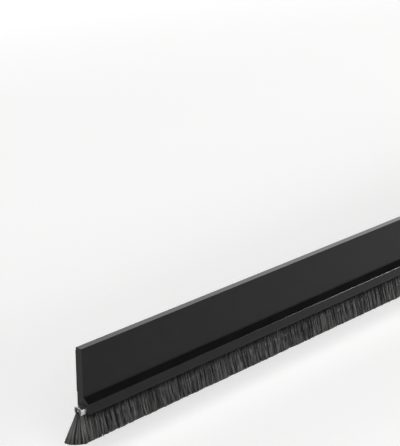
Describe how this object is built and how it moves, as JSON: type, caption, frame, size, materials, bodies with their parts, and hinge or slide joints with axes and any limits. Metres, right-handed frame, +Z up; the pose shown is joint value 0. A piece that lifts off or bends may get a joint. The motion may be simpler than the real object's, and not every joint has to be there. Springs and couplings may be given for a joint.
{
  "type": "door brush seal",
  "caption": "Stick-on strip for the bottom edge of a door: a flat flange and a C-shaped holder that carries a bristle strip folded in a steel channel.",
  "frame": {"origin": "centre of the foam tape's face that goes against the door", "axes": "+X along the seal, the front faces -Y with the door on the +Y side, +Z up towards the flange's top edge"},
  "size_m": [0.9344, 0.01, 0.0424],
  "materials": {
    "carrier": "smooth extruded plastic with a slight satin sheen",
    "tape": "matt closed-cell foam",
    "channel_steel": "galvanised, softly reflective",
    "wire_steel": "galvanised wire",
    "bristle": "fine crimped filaments with a soft sheen"
  },
  "bodies": {
    "root": {"carrier_profile": "carrier", "adhesive_tape": "tape", "brush_channel": "channel_steel", "core_wire": "wire_steel", "bristles": "bristle"}
  },
  "joints": []
}
